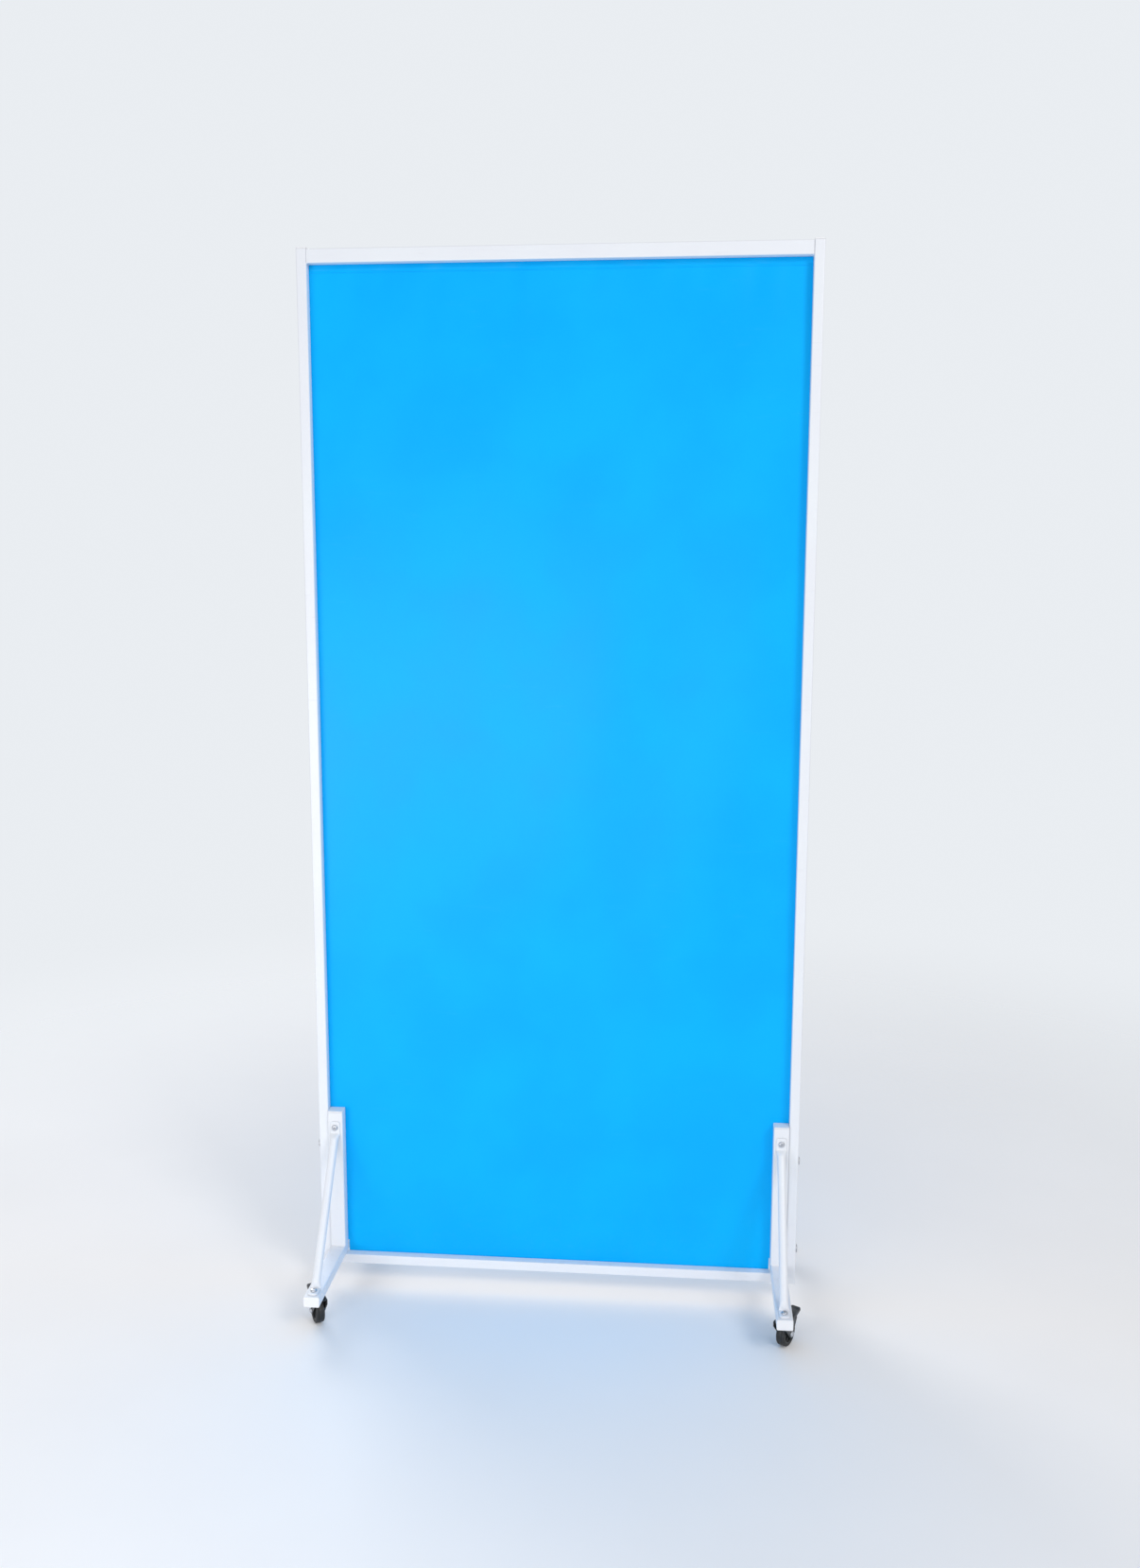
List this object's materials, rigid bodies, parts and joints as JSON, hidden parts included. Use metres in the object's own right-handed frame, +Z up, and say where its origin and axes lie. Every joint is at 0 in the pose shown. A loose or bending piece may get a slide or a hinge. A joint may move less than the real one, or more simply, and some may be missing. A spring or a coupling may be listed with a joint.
{
  "type": "welding curtain screen",
  "caption": "Mobile welding screen with a taut blue vinyl curtain in a white tube frame, on braced T-shaped legs with swivel castors, the front ones with brake pedals.",
  "frame": {"origin": "on the floor, under the middle of the frame and the middle of the feet", "axes": "+Z up, +X along the width of the screen, -Y towards the side that the braces are on, which is the front"},
  "size_m": [0.9568, 0.4296, 2.0123],
  "materials": {
    "frame_paint": "off-white powder coat, satin",
    "curtain_vinyl": "smooth flexible vinyl sheet, bright blue, slightly glossy",
    "cap_plastic": "moulded white plastic",
    "wheel_rubber": "black rubber, matt",
    "castor_paint": "black paint, satin",
    "zinc_fastener": "zinc plated steel"
  },
  "bodies": {
    "screen": {"bottom_rail": "frame_paint", "brace_left": "frame_paint", "brace_right": "frame_paint", "brace_screw_lower_left": "zinc_fastener", "brace_screw_lower_right": "zinc_fastener", "brace_screw_upper_left": "zinc_fastener", "brace_screw_upper_right": "zinc_fastener", "castor_nut_front_left": "zinc_fastener", "castor_nut_front_right": "zinc_fastener", "castor_nut_rear_left": "zinc_fastener", "castor_nut_rear_right": "zinc_fastener", "castor_stem_front_left": "zinc_fastener", "castor_stem_front_right": "zinc_fastener", "castor_stem_rear_left": "zinc_fastener", "castor_stem_rear_right": "zinc_fastener", "clamp_strip_bottom": "frame_paint", "clamp_strip_left": "frame_paint", "clamp_strip_right": "frame_paint", "clamp_strip_top": "frame_paint", "curtain": "curtain_vinyl", "foot_left": "frame_paint", "foot_plug_front_left": "cap_plastic", "foot_plug_front_right": "cap_plastic", "foot_plug_rear_left": "cap_plastic", "foot_plug_rear_right": "cap_plastic", "foot_right": "frame_paint", "leg_bolt_lower_left": "zinc_fastener", "leg_bolt_lower_right": "zinc_fastener", "leg_bolt_upper_left": "zinc_fastener", "leg_bolt_upper_right": "zinc_fastener", "leg_cap_left": "cap_plastic", "leg_cap_right": "cap_plastic", "leg_nut_lower_left": "zinc_fastener", "leg_nut_lower_right": "zinc_fastener", "leg_nut_upper_left": "zinc_fastener", "leg_nut_upper_right": "zinc_fastener", "leg_upright_left": "frame_paint", "leg_upright_right": "frame_paint", "post_cap_left": "cap_plastic", "post_cap_right": "cap_plastic", "post_left": "frame_paint", "post_plug_left": "cap_plastic", "post_plug_right": "cap_plastic", "post_right": "frame_paint", "top_rail": "frame_paint"},
    "castor_front_left": {"castor_fork_front_left": "castor_paint", "castor_axle_front_left": "zinc_fastener"},
    "wheel_front_left": {"castor_wheel_front_left": "wheel_rubber"},
    "brake_front_left": {"brake_pedal_front_left": "castor_paint"},
    "castor_front_right": {"castor_fork_front_right": "castor_paint", "castor_axle_front_right": "zinc_fastener"},
    "wheel_front_right": {"castor_wheel_front_right": "wheel_rubber"},
    "brake_front_right": {"brake_pedal_front_right": "castor_paint"},
    "castor_rear_left": {"castor_fork_rear_left": "castor_paint", "castor_axle_rear_left": "zinc_fastener"},
    "wheel_rear_left": {"castor_wheel_rear_left": "wheel_rubber"},
    "castor_rear_right": {"castor_fork_rear_right": "castor_paint", "castor_axle_rear_right": "zinc_fastener"},
    "wheel_rear_right": {"castor_wheel_rear_right": "wheel_rubber"}
  },
  "joints": [
    {"name": "front_left_swivel", "type": "hinge", "parent": "screen", "child": "castor_front_left", "pos_m": [-0.4407, -0.1625, 0.057], "axis": [0, 0, 1], "continuous": true},
    {"name": "front_left_roll", "type": "hinge", "parent": "castor_front_left", "child": "wheel_front_left", "pos_m": [-0.4472, -0.15124, 0.025], "axis": [-0.866, -0.5, 0], "continuous": true},
    {"name": "front_left_brake", "type": "hinge", "parent": "castor_front_left", "child": "brake_front_left", "pos_m": [-0.4557, -0.13652, 0.049], "axis": [-0.866, -0.5, 0], "range_deg": [0, 20]},
    {"name": "front_right_swivel", "type": "hinge", "parent": "screen", "child": "castor_front_right", "pos_m": [0.4407, -0.1625, 0.057], "axis": [0, 0, 1], "continuous": true},
    {"name": "front_right_roll", "type": "hinge", "parent": "castor_front_right", "child": "wheel_front_right", "pos_m": [0.4472, -0.15124, 0.025], "axis": [-0.866, 0.5, 0], "continuous": true},
    {"name": "front_right_brake", "type": "hinge", "parent": "castor_front_right", "child": "brake_front_right", "pos_m": [0.4557, -0.13652, 0.049], "axis": [-0.866, 0.5, 0], "range_deg": [0, 20]},
    {"name": "rear_left_swivel", "type": "hinge", "parent": "screen", "child": "castor_rear_left", "pos_m": [-0.4407, 0.1625, 0.057], "axis": [0, 0, 1], "continuous": true},
    {"name": "rear_left_roll", "type": "hinge", "parent": "castor_rear_left", "child": "wheel_rear_left", "pos_m": [-0.43521, 0.17428, 0.025], "axis": [-0.9063, 0.4226, 0], "continuous": true},
    {"name": "rear_right_swivel", "type": "hinge", "parent": "screen", "child": "castor_rear_right", "pos_m": [0.4407, 0.1625, 0.057], "axis": [0, 0, 1], "continuous": true},
    {"name": "rear_right_roll", "type": "hinge", "parent": "castor_rear_right", "child": "wheel_rear_right", "pos_m": [0.43733, 0.17506, 0.025], "axis": [-0.9659, -0.2588, 0], "continuous": true}
  ]
}
